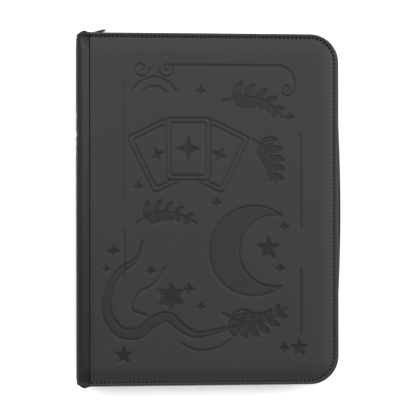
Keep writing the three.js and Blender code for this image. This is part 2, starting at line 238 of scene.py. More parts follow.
class Nodes:
    """A short way to write a procedural material."""

    def __init__(self, name, rest=True):
        self.material = bpy.data.materials.new(name)
        self.material.use_nodes = True
        self.tree = self.material.node_tree
        self.shader = self.tree.nodes["Principled BSDF"]
        if rest:
            self.where = self.stored("rest", "Vector")
        else:
            self.where = self.add("ShaderNodeTexCoord").outputs["Object"]

    def add(self, kind, **settings):
        node = self.tree.nodes.new(kind)
        for key, value in settings.items():
            setattr(node, key, value)
        return node

    def feed(self, socket, value):
        """Sets a socket to a number or a colour, or links it to another node's output."""
        if isinstance(value, bpy.types.NodeSocket):
            self.tree.links.new(value, socket)
        else:
            socket.default_value = value

    def filled(self, kind, inputs, output, **settings):
        """A new node's output, with its inputs given by name or number."""
        node = self.add(kind, **settings)
        for key, value in inputs.items():
            self.feed(node.inputs[key], value)
        return node.outputs[output]

    def stored(self, name, output="Fac"):
        return self.filled("ShaderNodeAttribute", {}, output, attribute_name=name)

    def noise(self, scale, detail=2.0):
        inputs = {"Scale": scale, "Detail": detail, "Vector": self.where}
        return self.filled("ShaderNodeTexNoise", inputs, "Fac")

    def voronoi(self, scale):
        return self.filled("ShaderNodeTexVoronoi", {"Scale": scale, "Vector": self.where}, "Distance")

    def stripes(self, scale, direction, distortion=0.0):
        inputs = {"Scale": scale, "Distortion": distortion, "Vector": self.where}
        return self.filled("ShaderNodeTexWave", inputs, "Fac", bands_direction=direction)

    def math(self, operation, a, b):
        return self.filled("ShaderNodeMath", {0: a, 1: b}, 0, operation=operation)

    def spread(self, value, low, high):
        inputs = {"Value": value, "To Min": low, "To Max": high}
        return self.filled("ShaderNodeMapRange", inputs, "Result")

    def colours(self, value, first, second):
        """Mixes two colours. Each is three numbers or another node's colour."""
        inputs = {0: value, 6: first, 7: second}
        inputs.update({k: (*v, 1) for k, v in inputs.items() if isinstance(v, tuple)})
        return self.filled("ShaderNodeMix", inputs, 2, data_type="RGBA")

    def bump(self, height, strength, distance):
        inputs = {"Strength": strength, "Distance": distance, "Height": height}
        self.feed(self.shader.inputs["Normal"], self.filled("ShaderNodeBump", inputs, "Normal"))

    def set(self, **values):
        """Sets the shader's inputs. An underscore in a key stands for a space."""
        for key, value in values.items():
            title = key.replace("_", " ").title().replace("Ior", "IOR")
            self.feed(self.shader.inputs[title], value)
        return self


def leather(name, dark, light, pressed=False, shine=0.22):
    """Smooth coated leather: fine pebbled grain, faint mottling, darker and glossier where pressed and
    where the press attribute carries painted shade (the cover's rim edge and needle holes).
    """
    n = Nodes(name)
    colour = n.colours(n.noise(22, 4), dark, light)
    rough = n.spread(n.noise(160, 3), 0.37, 0.46)
    if pressed:
        # The press attribute also holds painted shade on the cover: along the rim's edge and in the
        # needle holes.
        press = n.stored("press")
        colour = n.colours(press, colour, tuple(c * 0.3 for c in dark))
        rough = n.math("SUBTRACT", rough, n.math("MULTIPLY", press, 0.06))
    grain = n.math("ADD", n.voronoi(1300), n.math("MULTIPLY", n.noise(2600), 0.4))
    n.bump(grain, 0.22, 0.00008)
    return n.set(base_color=colour, roughness=rough, specular_ior_level=shine).material


def cloth(name, dark, light, pitch=0.55, rest=True, shine=0.25):
    """A plain weave with threads every pitch millimetres."""
    n = Nodes(name, rest)
    across, along, up = (n.stripes(1 / (pitch * MM) / math.pi, axis, 0.6) for axis in "XYZ")
    weave = n.math("MULTIPLY", n.math("ADD", across, up), n.math("ADD", along, 0.35))
    n.bump(weave, 0.5, 0.0002)
    colour = n.colours(n.noise(900, 3), dark, light)
    return n.set(base_color=colour, roughness=0.88, specular_ior_level=shine).material


def metal(name, rest=True):
    """Black enamel over zinc, a little worn."""
    n = Nodes(name, rest)
    wear = n.noise(700, 4)
    colour = n.colours(wear, (0.012, 0.012, 0.013), (0.035, 0.035, 0.037))
    n.bump(n.noise(1500), 0.1, 0.00005)
    return n.set(base_color=colour, roughness=n.spread(wear, 0.25, 0.42), metallic=0.6).material


def thread_material():
    n = Nodes("thread")
    inputs = {"Rotation": (0.0, 0.0, 0.7), "Vector": n.where}
    n.where = n.filled("ShaderNodeMapping", inputs, "Vector")
    n.bump(n.stripes(900, "X"), 0.5, 0.0001)
    colour = n.colours(n.noise(1200), (0.008, 0.008, 0.009), (0.02, 0.02, 0.022))
    return n.set(base_color=colour, roughness=0.6).material


def film_material():
    """Clear pocket film over a black core: a faint wave under a glossy coat."""
    n = Nodes("pocket_film")
    colour = n.colours(n.stored("weld"), (0.018, 0.018, 0.02), (0.006, 0.006, 0.007))
    n.bump(n.noise(90), 0.06, 0.0003)
    n.set(coat_weight=0.6, coat_roughness=0.12)
    return n.set(base_color=colour, roughness=n.spread(n.noise(60, 3), 0.26, 0.32)).material


def plain_material(name, dark, light, roughness, scale, rest=False):
    n = Nodes(name, rest)
    n.bump(n.noise(scale * 2, 3), 0.3, 0.0002)
    return n.set(base_color=n.colours(n.noise(scale, 4), dark, light), roughness=roughness).material


cover_leather = leather("cover_leather", (0.0105, 0.0102, 0.0115), (0.013, 0.0127, 0.0138), True)
# A darker copy of the cover's leather: painted shade for the spine's curved sides, which face away from
# the light.
spine_leather = leather("spine_leather", (0.0055, 0.0053, 0.0065), (0.007, 0.0068, 0.008), shine=0.17)
lining_cloth = cloth("lining_cloth", (0.012, 0.012, 0.013), (0.024, 0.024, 0.026))
tape_cloth = cloth("zipper_tape_cloth", (0.0035, 0.0035, 0.004), (0.007, 0.007, 0.0078), 0.7, shine=0.08)
binding_cloth = cloth("binding_cloth", (0.01, 0.01, 0.011), (0.02, 0.02, 0.022), 0.6, rest=False)
enamel = metal("black_enamel")
enamel_cad = metal("black_enamel_solid", rest=False)
thread = thread_material()
coil = plain_material("coil_plastic", (0.005, 0.005, 0.0055), (0.01, 0.01, 0.011), 0.42, 800, True)
film = film_material()
foam = plain_material("padding_foam", (0.28, 0.28, 0.27), (0.36, 0.36, 0.35), 0.95, 900)
board = plain_material("grey_board", (0.22, 0.2, 0.16), (0.3, 0.27, 0.22), 0.9, 500)

# ---- the debossed design ---------------------------------
#
# A generic ornament: a ruled frame, a fan of blank cards, a crescent moon, leaf sprigs, a ribbon and
# stars. Places are (millimetres from the spine's face, millimetres above the middle of the cover).

LINE_HALF = 1.2
PRESS_DEPTH = 0.5
SHADE = 0.4


def curve_through(points, steps=14):
    """A smooth curve through a few points (Catmull-Rom)."""
    p = np.array(points, float)
    p = np.vstack([2 * p[0] - p[1], p, 2 * p[-1] - p[-2]])
    t = np.linspace(0, 1, steps, endpoint=False)[:, None]
    out = []
    for a, b, c, d in zip(p, p[1:], p[2:], p[3:]):
        out.append(
            0.5 * (2 * b + (c - a) * t + (2 * a - 5 * b + 4 * c - d) * t**2
                   + (3 * b - a - 3 * c + d) * t**3)
        )
    out.append(p[-2][None])
    return np.vstack(out)


def polar(centre, radius, degrees):
    a = np.radians(degrees)
    return np.column_stack([centre[0] + radius * np.cos(a), centre[1] + radius * np.sin(a)])


def arc(centre, radius, start, end, steps=40):
    return polar(centre, radius, np.linspace(start, end, steps))


def round_rect(low, high, corner, steps=6):
    """The outline of a rectangle with round corners, from its lowest and highest corner."""
    points = []
    centres = [(high[0] - corner, high[1] - corner), (low[0] + corner, high[1] - corner),
               (low[0] + corner, low[1] + corner), (high[0] - corner, low[1] + corner)]
    for quarter, centre in enumerate(centres):
        points.extend(arc(centre, corner, quarter * 90, quarter * 90 + 90, steps))
    return points


def star(centre, radius, tips, inner=0.45, turn=90):
    k = np.arange(2 * tips + 1)
    return polar(centre, radius * np.where(k % 2, inner, 1.0), turn + k * 180 / tips)


def blank_card(centre, turn, width=44.0, height=62.0, corner=4.0):
    """The outline of a card with round corners, turned by some degrees about its centre."""
    outline = round_rect((-width / 2, -height / 2), (width / 2, height / 2), corner)
    a = math.radians(turn)
    spin = np.array([[math.cos(a), math.sin(a)], [-math.sin(a), math.cos(a)]])
    return np.array([*outline, outline[0]]) @ spin + centre


def leaf_shape(root, angle, length):
    a = math.radians(angle)
    t = np.linspace(0, 1, 14)
    along = np.column_stack([t * math.cos(a), t * math.sin(a)]) * length
    side = np.array([-math.sin(a), math.cos(a)]) * length * 0.2
    belly = (np.sin(np.pi * t) ** 0.8)[:, None]
    return [root + along + belly * side, root + along - belly * side, root + along[::3]]


def sprig(points, leaf, count):
    """A curved stem with pairs of leaves that get smaller towards its tip."""
    stem = curve_through(points)
    strokes = [stem]
    for k in range(1, count + 1):
        i = int(len(stem) * k / (count + 1))
        direction = stem[min(i + 1, len(stem) - 1)] - stem[i - 1]
        heading = math.degrees(math.atan2(direction[1], direction[0]))
        size = leaf * (1.15 - 0.6 * k / count)
        strokes += leaf_shape(stem[i], heading + 48, size)
        strokes += leaf_shape(stem[i], heading - 48, size)
    return strokes


def spiral(centre, radius, start, turns, steps=40):
    t = np.linspace(0, 1, steps)
    return polar(centre, radius * (1 - 0.85 * t), start + t * turns * 360)


def crescent(centre, radius, shift, inner):
    """The outline of a crescent: a round moon with a smaller round bite, meeting in two points."""
    along = (radius**2 - inner**2 + shift**2) / (2 * shift)
    tip = math.degrees(math.acos(along / radius))
    bite = math.degrees(math.atan2(radius * math.sin(math.radians(tip)), along - shift))
    outer = arc(centre, radius, tip, 360 - tip, 60)
    back = arc((centre[0] + shift, centre[1]), inner, 360 - bite, bite, 50)
    return np.vstack([outer, back, outer[:1]])


def design():
    """The pressed marks, in the order they are laid down, as (kind, curve) pairs. A line is pressed
    along a curve, a fill presses a whole shape, a shade presses a shape lightly, and a clear lifts
    what lies behind a shape."""
    marks = []
    left, right, top = 48, 225, 144

    def line(curve):
        marks.append(("line", np.array(curve, float)))

    def fill(curve):
        marks.append(("fill", curve))

    line([(96, top), (206, top)])
    for x, upper, lower in ((left, top - 18, 8), (left, -23, -70), (right, 74, -18), (right, -62, -126)):
        line([(x, upper), (x, lower)])
    for side in (-1, 1):
        line(spiral((78 + side * 13, top - 4), 9, 90 + side * 90, side * 1.25))
    line(curve_through([(56, 118), (64, 127), (78, 132), (92, 127), (100, 118)]))
    line(curve_through([(66, 117), (73, 122), (83, 122), (90, 117)]))
    line(curve_through([(206, 144), (215, 138), (219, 128), (218, 120)]))
    line(spiral((211, 120), 7.2, 0, -1.3))
    fan = (112, 60)
    for turn, shift in ((26, (-28, -7)), (-26, (28, -7)), (0, (0, 0))):
        centre = (fan[0] + shift[0], fan[1] + shift[1])
        marks.append(("clear", blank_card(centre, turn)))
        line(blank_card(centre, turn))
        line(blank_card(centre, turn, 35, 53, 3))
    fill(star(fan, 11, 4, 0.35))
    for side in (-1, 1):
        fill(star((fan[0] + side * 31, fan[1] - 6), 6, 4, 0.38, 90 - side * 26))
    moon = crescent((178, -42), 45, 21, 36)
    marks.append(("shade", moon))
    line(moon)
    fill(star((192, -40), 11, 5))
    for points, leaf, count in (
        ([(146, -104), (166, -114), (188, -114), (210, -100)], 19, 6),
        ([(60, -14), (78, -4), (98, -4), (120, -14)], 15, 5),
        ([(146, 108), (168, 113), (190, 108), (206, 92)], 17, 5),
        ([(176, 70), (190, 60), (198, 44), (200, 26)], 17, 5),
    ):
        for curve in sprig(points, leaf, count):
            line(curve)
    ribbon = curve_through(
        [(66, -32), (60, -50), (42, -64), (32, -84), (31, -104), (43, -122), (62, -124),
         (78, -112), (92, -108), (104, -118), (120, -126), (142, -122), (164, -116)]
    )
    width = 5.0 * np.sin(np.linspace(0.1, np.pi - 0.05, len(ribbon)))
    upper, lower = offset_curve(ribbon, width), offset_curve(ribbon, -width)
    marks.append(("shade", np.vstack([upper, lower[::-1], upper[:1]])))
    line(upper)
    line(lower)
    line(curve_through([(88, -58), (78, -74), (62, -84), (56, -100), (70, -106)]))
    line(curve_through([(104, -134), (120, -141), (140, -139), (154, -131)]))
    line(star((94, -88), 13, 6, 0.58))
    fill(star((94, -88), 9, 6, 0.5))
    for spot, size, tips in (((47, -146), 8, 5), ((223, -140), 8, 5), ((208, -140), 4.5, 4),
                             ((112, -80), 4.5, 4), ((37, -42), 5, 4), ((74, -62), 4, 4),
                             ((124, -98), 3.5, 4), ((30, -60), 3, 4), ((124, 118), 4.5, 4),
                             ((140, 6), 4.5, 4), ((214, 92), 4, 4), ((62, 22), 4, 4),
                             ((204, -60), 4, 4), ((208, -18), 4, 4)):
        fill(star(spot, size, tips, 0.38 if tips == 4 else 0.45))
    return marks


def distance_to(curve, x, y):
    """Distance from each point to a curve of straight steps."""
    best = np.full(x.shape, 1e9)
    for a, b in zip(curve, curve[1:]):
        span = b - a
        length = max(float(span @ span), 1e-9)
        t = np.clip(((x - a[0]) * span[0] + (y - a[1]) * span[1]) / length, 0, 1)
        best = np.minimum(best, np.hypot(x - a[0] - t * span[0], y - a[1] - t * span[1]))
    return best


def inside(curve, x, y):
    hit = np.zeros(x.shape, bool)
    for a, b in zip(curve, curve[1:]):
        crosses = (a[1] > y) != (b[1] > y)
        rise = b[1] - a[1] if abs(b[1] - a[1]) > 1e-9 else 1e-9
        hit ^= crosses & (x < (b[0] - a[0]) * (y - a[1]) / rise + a[0])
    return hit


def pressed(x, y):
    """How deeply each point of the front cover is pressed, from 0 to 1."""
    u = x - SPINE_X
    field = np.zeros(x.shape)
    for kind, curve in design():
        low, high = curve.min(0) - 4, curve.max(0) + 4
        near = (u > low[0]) & (u < high[0]) & (y > low[1]) & (y < high[1])
        distance = distance_to(curve, u[near], y[near])
        if kind != "line":
            distance = np.where(inside(curve, u[near], y[near]), 0.0, distance)
        mark_field = bell(distance, LINE_HALF)
        if kind == "clear":
            field[near] = field[near] * (1 - mark_field)
        else:
            strength = SHADE if kind == "shade" else 1.0
            field[near] = np.maximum(field[near], strength * mark_field)
    return field


# ---- covers ----------------------------------------------

FORE_EXTRA = 1.0
FORE_BLEND = 3.0
PAD_POWER = 2.3
GROOVE_DEPTH = 0.5
GROOVE_WIDTH = 0.8
RIM_ROUND = 2.0
FINE_EDGE = 6.0
SEAM_STITCH = 2.7
SEAM_GROOVE_DEPTH = 0.3
SEAM_GROOVE_WIDTH = 0.6
SEAM_HOLES = 80
SEAM_ROUND = 1.0
# Width of the painted shade along the cover's rounded outer edge.
EDGE_SHADE_REACH = 1.1
CROWN = 0.5
CLOTH_STEP = 5.0
CLOTH_CAP = 12.0
CLOTH_FRAMES = 20
CLOTH_PRESSURE = 4.0
CLOTH_TENSION = 40.0
CLOTH_BENDING = 4.0

# The inside of a cover's tray, from its edge to the middle: (inset from the free edges, inset from
# the seam, height).
TRAY = [(0.0, 0.0, INNER_W + 0.8), (0.25, 0.0, INNER_W + 0.25), (0.8, 0.0, INNER_W),
        (5.2, 1.0, INNER_W), (5.2, 1.0, OUTER_W - 3.9), (9.0, 1.0, OUTER_W - 2.1),
        (20.0, 1.0, OUTER_W - 1.1)]


def fore_edge_extra(distance, facing):
    """The rim is a little wider along the fore-edge. facing is how squarely an edge faces +X."""
    return FORE_EXTRA * facing**2 * smooth(distance / FORE_BLEND)


def edge_distance(x, y):
    """Distance in from the cover's three free edges, less the fore-edge rim's extra width."""
    dx, dy = x - CORNER_X, np.abs(y) - CORNER_Y
    reach = np.maximum(np.hypot(dx, dy), 1e-6)
    in_corner = (dx > 0) & (dy > 0)
    distance = np.where(in_corner, CORNER - reach, np.minimum(EDGE_X - x, HALF - np.abs(y)))
    facing = np.where(in_corner, dx / reach, (EDGE_X - x < HALF - np.abs(y)).astype(float))
    return distance - fore_edge_extra(distance, facing)


def rounding(distance, radius):
    """Drop of a rounded edge at a distance in from it."""
    reach = np.clip(radius - distance, 0, radius)
    return radius - np.sqrt(radius**2 - reach**2)


def rim_profile(d):
    """Height of the cover's outer face by distance from the edge: a folded rim, the stitched
    groove, and the padded shoulder that rises from it."""
    rise = np.clip((d - STITCH_INSET) / ROLL_OFF, 0, 1)
    pad = RIM_W + (OUTER_W - RIM_W) * (1 - (1 - rise) ** PAD_POWER)
    groove = GROOVE_DEPTH * bell(d - STITCH_INSET, GROOVE_WIDTH)
    fullness = 0.25 * bell(d - 2.2, 1.0)
    return pad - groove + fullness - rounding(d, RIM_ROUND)


def padded_crown():
    """The padding's crown. The leather is a cloth sewn down along the rim and the seam, and the foam
    under it pushes it outwards. Returns the grid's x and y lines and its rise, from 0 to 1."""
    inner = EDGE_X - STITCH_INSET
    xs = np.linspace(SEAM_X, inner, round((inner - SEAM_X) / CLOTH_STEP) + 1)
    half = HALF - STITCH_INSET
    ys = np.linspace(-half, half, round(2 * half / CLOTH_STEP) + 1)
    x, y = np.meshgrid(xs, ys)
    room = np.minimum(edge_distance(x, y) - STITCH_INSET, x - SEAM_X)
    mesh = bpy.data.meshes.new("padding_cloth")
    flat = np.column_stack([x.ravel(), y.ravel(), np.zeros(x.size)]) * MM
    mesh.from_pydata(flat.tolist(), [], grid_faces(len(ys), len(xs)))
    cloth_piece = link_new("padding_cloth", mesh)
    sewn = cloth_piece.vertex_groups.new(name="sewn")
    sewn.add([int(i) for i in np.flatnonzero(room.ravel() < 1.0)], 1.0, "REPLACE")
    settings = cloth_piece.modifiers.new("cloth", "CLOTH").settings
    settings.vertex_group_mass = "sewn"
    settings.use_pressure = True
    settings.uniform_pressure_force = CLOTH_PRESSURE
    settings.effector_weights.gravity = 0.0
    settings.tension_stiffness = CLOTH_TENSION
    settings.bending_stiffness = CLOTH_BENDING
    for step in range(1, CLOTH_FRAMES + 1):
        scene.frame_set(step)
    blown = cloth_piece.evaluated_get(bpy.context.evaluated_depsgraph_get()).to_mesh()
    co = np.zeros(len(blown.vertices) * 3, np.float32)
    blown.vertices.foreach_get("co", co)
    rise = np.clip(np.abs(co[2::3]) / MM, 0, CLOTH_CAP).reshape(x.shape)
    bpy.data.objects.remove(cloth_piece)
    scene.frame_set(1)
    return xs, ys, rise / max(float(rise.max()), 1e-6)


crown_xs, crown_ys, crown_rise = padded_crown()


def crown_at(x, y):
    """The simulated crown between the cloth's points, from 0 to 1."""
    u = np.clip((x - crown_xs[0]) / (crown_xs[1] - crown_xs[0]), 0, len(crown_xs) - 1.001)
    v = np.clip((y - crown_ys[0]) / (crown_ys[1] - crown_ys[0]), 0, len(crown_ys) - 1.001)
    i, j = u.astype(int), v.astype(int)
    fu, fv = smooth(u - i), smooth(v - j)
    low = crown_rise[j, i] * (1 - fu) + crown_rise[j, i + 1] * fu
    high = crown_rise[j + 1, i] * (1 - fu) + crown_rise[j + 1, i + 1] * fu
    return low * (1 - fv) + high * fv


def panel_height(x, y):
    seam = x - SEAM_X
    groove = SEAM_GROOVE_DEPTH * bell(seam - SEAM_STITCH, SEAM_GROOVE_WIDTH)
    return rim_profile(edge_distance(x, y)) - rounding(seam, SEAM_ROUND) - groove


def spaced(stretches):
    """Positions along a line, each stretch (start, end, step) evenly divided."""
    out = [stretches[0][0]]
    for start, end, step in stretches:
        count = max(1, round(abs(end - start) / step))
        out.extend(start + (end - start) * k / count for k in range(1, count + 1))
    return np.array(out)


def needle_dips(x, y, holes, depth, reach):
    """Small dents where the needle went in, at each point of a stitch line."""
    field = np.zeros(x.shape)
    for px, py in holes:
        near = (np.abs(x - px) < 2) & (np.abs(y - py) < 2)
        gap = np.hypot(x[near] - px, y[near] - py)
        field[near] = np.maximum(field[near], depth * bell(gap, reach))
    return field


def rim_line(inset, pitch, start=2.0):
    """Points along the three free edges, evenly spaced, from the head's spine end round the
    fore-edge to the tail's."""
    radius = CORNER - inset
    straight = CORNER_X - (SEAM_X + start)
    quarter = math.pi / 2 * radius
    total = 2 * (straight + quarter + CORNER_Y)
    count = round(total / pitch)
    travel = total * np.arange(count + 1) / count
    near = np.minimum(travel, total - travel)
    turn = np.clip((near - straight) / radius, 0, math.pi / 2)
    nx, ny = np.sin(turn), np.cos(turn)
    reach = radius - fore_edge_extra(inset, nx)
    x = SEAM_X + start + np.minimum(near, straight) + reach * nx
    y = CORNER_Y + reach * ny - np.maximum(near - straight - quarter, 0)
    return np.column_stack([x, np.where(travel > total / 2, -y, y)])


stitch_points = rim_line(STITCH_INSET, STITCH_PITCH)
seam_holes = np.column_stack(
    [np.full(SEAM_HOLES, SEAM_X + SEAM_STITCH), np.linspace(8 - HALF, HALF - 8, SEAM_HOLES)]
)


def cover_panel(half):
    """The leather of one cover: a closed tray whose outer face carries the padding, the stitched
    rim and the pressed design, and whose hollow holds the foam, board and lining."""
    finest, fine, plain = 0.3, 0.5, 0.9
    low_y, high_y, high_x = FINE_EDGE - HALF, HALF - FINE_EDGE, EDGE_X - FINE_EDGE
    ys = spaced([(-HALF, low_y, finest), (low_y, -CORNER_Y, fine), (-CORNER_Y, CORNER_Y, plain),
                 (CORNER_Y, high_y, fine), (high_y, HALF, finest)])
    xs = spaced([(SEAM_X, SEAM_X + 4, 0.4), (SEAM_X + 4, CORNER_X, plain), (CORNER_X, high_x, 0.6),
                 (high_x, EDGE_X, finest)])
    share = (xs - SEAM_X) / (EDGE_X - SEAM_X)
    over = np.clip(np.abs(ys) - CORNER_Y, 0, CORNER)
    right = CORNER_X + np.sqrt(CORNER**2 - over**2)
    x = SEAM_X + share * (right[:, None] - SEAM_X)
    y = np.repeat(ys[:, None], len(xs), axis=1)
    edge = edge_distance(x, y)
    press = pressed(x, y) if half == "front" else np.zeros(x.shape)
    dips = needle_dips(x, y, stitch_points, 1.5, 0.85) + needle_dips(x, y, seam_holes, 0.25, 0.7)
    sunk = CROWN * (1 - crown_at(x, y)) * smooth((edge - STITCH_INSET) / 10)
    verts = points_of(x, y, panel_height(x, y) - PRESS_DEPTH * press - dips - sunk)
    faces = grid_faces(*x.shape)
    loop = rim_loop(*x.shape)
    rim_x, rim_y = x.ravel()[loop], y.ravel()[loop]
    dx, dy = rim_x - CORNER_X, np.abs(rim_y) - CORNER_Y
    in_corner = (dx > 0) & (dy > 0)
    for inset, seam_inset, w in TRAY:
        keep = (CORNER - inset) / np.hypot(dx, dy)
        px = np.where(in_corner, CORNER_X + dx * keep, np.minimum(rim_x, EDGE_X - inset))
        py = np.where(in_corner, np.copysign(CORNER_Y + dy * keep, rim_y),
                      np.clip(rim_y, inset - HALF, HALF - inset))
        ring = list(range(len(verts), len(verts) + len(px)))
        verts = np.vstack([verts, points_of(np.maximum(px, SEAM_X + seam_inset), py, w)])
        faces += wall_faces(loop, ring)
        loop = ring
    faces.append(tuple(loop))
    piece = make_piece(f"{half}_cover_padded_leather", verts, faces, cover_leather, half)
    # Painted shade: the leather darkens towards the rounded outer edge of the rim, which faces away from
    # the light.
    painted_edge_shade = 0.9 * (1 - smooth((edge - EDGE_SHADE_REACH) / 0.9))
    # The darkening joins the pressed design, the painted shade along the edge, and painted shade in the
    # needle holes, which are also real dents.
    dark = np.maximum.reduce([press, painted_edge_shade, np.clip(dips / 1.3, 0, 0.8)])
    # The tray's points, on the rim's outer edge face, its underside and the hollow, get full darkness:
    # painted shade.
    mark(piece, "press", np.concatenate([dark.ravel(), np.ones(len(verts) - dark.size)]))
    belongs(piece, "cover_leather", f"{half}_cover", f"{half}_cover_leather")


def stitch_row(holes, height, radius, sink):
    """Thread between needle holes: each stitch is a short bar that arches out of its two holes."""
    cover, around, along = 0.8, 6, 7
    t = np.linspace(0, 1, along)[:, None]
    turn = 2 * np.pi * np.arange(around) / around
    arch = np.sin(np.pi * t) ** 0.5
    slim = radius * (0.55 + 0.45 * arch)
    parts = []
    for a, b in zip(holes, holes[1:]):
        step = (b - a) / np.linalg.norm(b - a)
        x, y = ((a + b) / 2 + (b - a) * cover * (t - 0.5)).T[:, :, None]
        base = height(x, y) + radius * 0.5 - sink * (1 - arch)
        verts = points_of(x - step[1] * np.cos(turn) * slim, y + step[0] * np.cos(turn) * slim,
                          base + np.sin(turn) * slim)
        parts.append((verts, loft_faces(along, around)))
    return join_parts(parts)


def cover_stitching(half):
    """The thread on a cover's outer face, and the bobbin side of the rim's stitches, on the face of
    the zipper tape's sewn margin."""
    rim = stitch_row(stitch_points, panel_height, 0.42, 1.0)
    seam = stitch_row(seam_holes, panel_height, 0.24, 0.4)
    piece = make_piece(f"{half}_cover_stitching", *join_parts([rim, seam]), thread, half)
    belongs(piece, "cover_leather", f"{half}_cover")
    margin_w = tape_high[2] - MID_Z - 0.42
    verts, faces = stitch_row(stitch_points, lambda x, y: -margin_w, 0.3, 0.3)
    piece = make_piece(f"{half}_cover_bobbin_stitching", verts * (1, 1, -1), turned(faces), thread, half)
    belongs(piece, "zipper_tape", f"{half}_cover")


def cover_lining(half):
    """The cloth that lines the inside of a cover, turned under at its edge."""
    inset, left = 5.5, lining_low[0]
    low_w, high_w = lining_low[2] - MID_Z, lining_high[2] - MID_Z
    edge = rim_line(inset, 3.0, start=1.5)[1:]
    outline = np.array([(left, HALF - inset), *edge, (left, inset - HALF)])
    inwards = (left + 40, 0.0) - outline
    inwards /= np.linalg.norm(inwards, axis=1)[:, None]
    profile = np.array([(0.0, high_w), (0.0, low_w + 0.15), (0.15, low_w), (1.2, low_w - 0.04),
                        (2.0, low_w), (14.0, low_w + 0.02), (40.0, low_w + 0.02)])
    verts = sweep(outline, inwards, profile).transpose(1, 0, 2)
    faces = turned(loft_faces(len(profile), len(outline)))
    piece = make_piece(f"{half}_cover_lining_cloth", verts, faces, lining_cloth, half)
    belongs(piece, "lining", f"{half}_cover", f"{half}_cover_lining")


for half in HALVES:
    cover_panel(half)
    cover_stitching(half)
    cover_lining(half)

# ---- spine -----------------------------------------------

SHOULDER_X = SEAM_X - SPINE_X
SHOULDER_START = 10.0
SHOULDER_TOP = OUTER_W - 0.8
SHOULDER_POWER = 1.12
RIDGE = 0.72
SPINE_END = 174.8
SPINE_PEAK = HALF + 1.4
HEM_END = HALF - 0.6
HEM_CREASE = 0.7
LINING_END = 174.1
LINING_TURN = 9.0
SETTLE_FROM_W = 12.9
CREASES = 9
CREASE_DEPTH = 0.28


def shoulder(inset, steps=26):
    """The leather's path from the middle of the spine, over the shoulder, to the seam, as
    (distance from the spine's face, height) pairs, drawn in from the outer face by inset."""
    path = [(inset, h) for h in np.linspace(0, SHOULDER_START, 8)]
    across = SHOULDER_X - inset
    up = SHOULDER_TOP - SHOULDER_START - inset
    for a in np.linspace(0, math.pi / 2, steps)[1:]:
        sideways, upwards = math.cos(a) ** SHOULDER_POWER, math.sin(a) ** SHOULDER_POWER
        path.append((SHOULDER_X - across * sideways, SHOULDER_START + up * upwards))
    return np.array(path)


def spine_reach(px):
    """How far along Y the leather goes at a distance from the spine's face: furthest at a peak in
    the middle of the shoulder."""
    peak = SPINE_PEAK - (SPINE_PEAK - HALF) * smooth((px - 9.0) / 3.5)
    return SPINE_END + (peak - SPINE_END) * smooth(px / 8.0)


def settle(px, pw, py):
    """Lowers points of the fold near the ends, where the padding comes down to the rim."""
    drop = OUTER_W - rim_profile(np.maximum(HALF - np.abs(py), 2.0))
    outward = np.clip((pw - SETTLE_FROM_W) / 4.0, 0, 1)
    return pw - drop * outward * smooth((px - 3.0) / 9.0)


def bend_at_fold(piece):
    """Bakes the piece's placement into its mesh."""
    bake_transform(piece)


def spine_half(half, *nodes):
    """Half of the spine's leather, between the spine and a cover."""
    outer, inner = shoulder(0.0), shoulder(1.0)
    outer[:, 1] += RIDGE * bell(outer[:, 0] - (SHOULDER_X - 0.9), 0.6)
    top = outer[-1][1]
    lip = [(SHOULDER_X - 0.35, top), (SHOULDER_X - 0.1, top - 0.5),
           (SHOULDER_X - 0.15, inner[-1][1] + 0.1)]
    px, pw = np.vstack([outer[:-1], lip, inner[::-1][1:]]).T
    rows = spaced([(-1.0, -0.94, 0.0025), (-0.94, 0.94, 0.0045), (0.94, 1.0, 0.0025)])
    reach = spine_reach(px)
    py = rows[:, None] * reach
    gap = reach - np.abs(py)
    pleat = 0.5 + 0.5 * np.sin(pw * 1.9 + px)
    depth = bell(gap, 1.1) * (0.35 + 0.35 * pleat) + 0.3 * pleat * bell(gap - 3.5, 2.0)
    depth += HEM_CREASE * bell(HALF - STITCH_INSET - np.abs(py), 0.8)
    for _ in range(CREASES):
        place, width, slant = rng.uniform(66, 98), rng.uniform(1.2, 2.4), rng.uniform(-0.25, 0.25)
        depth += CREASE_DEPTH * bell(py - place - slant * pw * 6, width) * bell(px, 2.6)
    depth[:, len(outer) + 1:] = 0.0
    normal = np.array([px - SHOULDER_X - 2, np.maximum(pw - SHOULDER_START, 0) + 0.01])
    normal /= np.linalg.norm(normal, axis=0)
    verts = points_of(SPINE_X + px - normal[0] * depth, py, settle(px, pw, py) - normal[1] * depth)
    faces = loft_faces(len(rows), len(px))
    piece = make_piece(f"spine_leather_{half}_half", verts, faces, spine_leather, half)
    bend_at_fold(piece)
    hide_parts(*nodes)


def lining_path():
    """The lining's way through the fold, as (distance from the spine's face, height) pairs."""
    path = [(3.1, h) for h in np.linspace(0, LINING_TURN, 6)]
    for a in np.linspace(0, math.pi / 2, 14)[1:]:
        path.append((12.4 - 9.3 * math.cos(a) ** 0.7, LINING_TURN + 8.0 * math.sin(a)))
    path += [(12.9, 16.6), (13.0, 15.0), (13.05, 13.4), (13.8, INNER_W - 0.12), (16.2, INNER_W - 0.1)]
    return np.array(path)


def hinge_lining(half):
    """The lining that follows the leather through the fold, from the spine to the cover."""
    path = lining_path()
    px, pw = np.vstack([path, offset_curve(path, -0.3)[::-1]]).T
    py = np.linspace(-LINING_END, LINING_END, 180)[:, None]
    verts = points_of(SPINE_X + px, py, settle(px, pw, py))
    faces = loft_faces(len(py), len(px))
    piece = make_piece(f"hinge_lining_{half}", verts, faces, lining_cloth, half)
    bend_at_fold(piece)
    if half == "front":
        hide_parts("spine_lining")


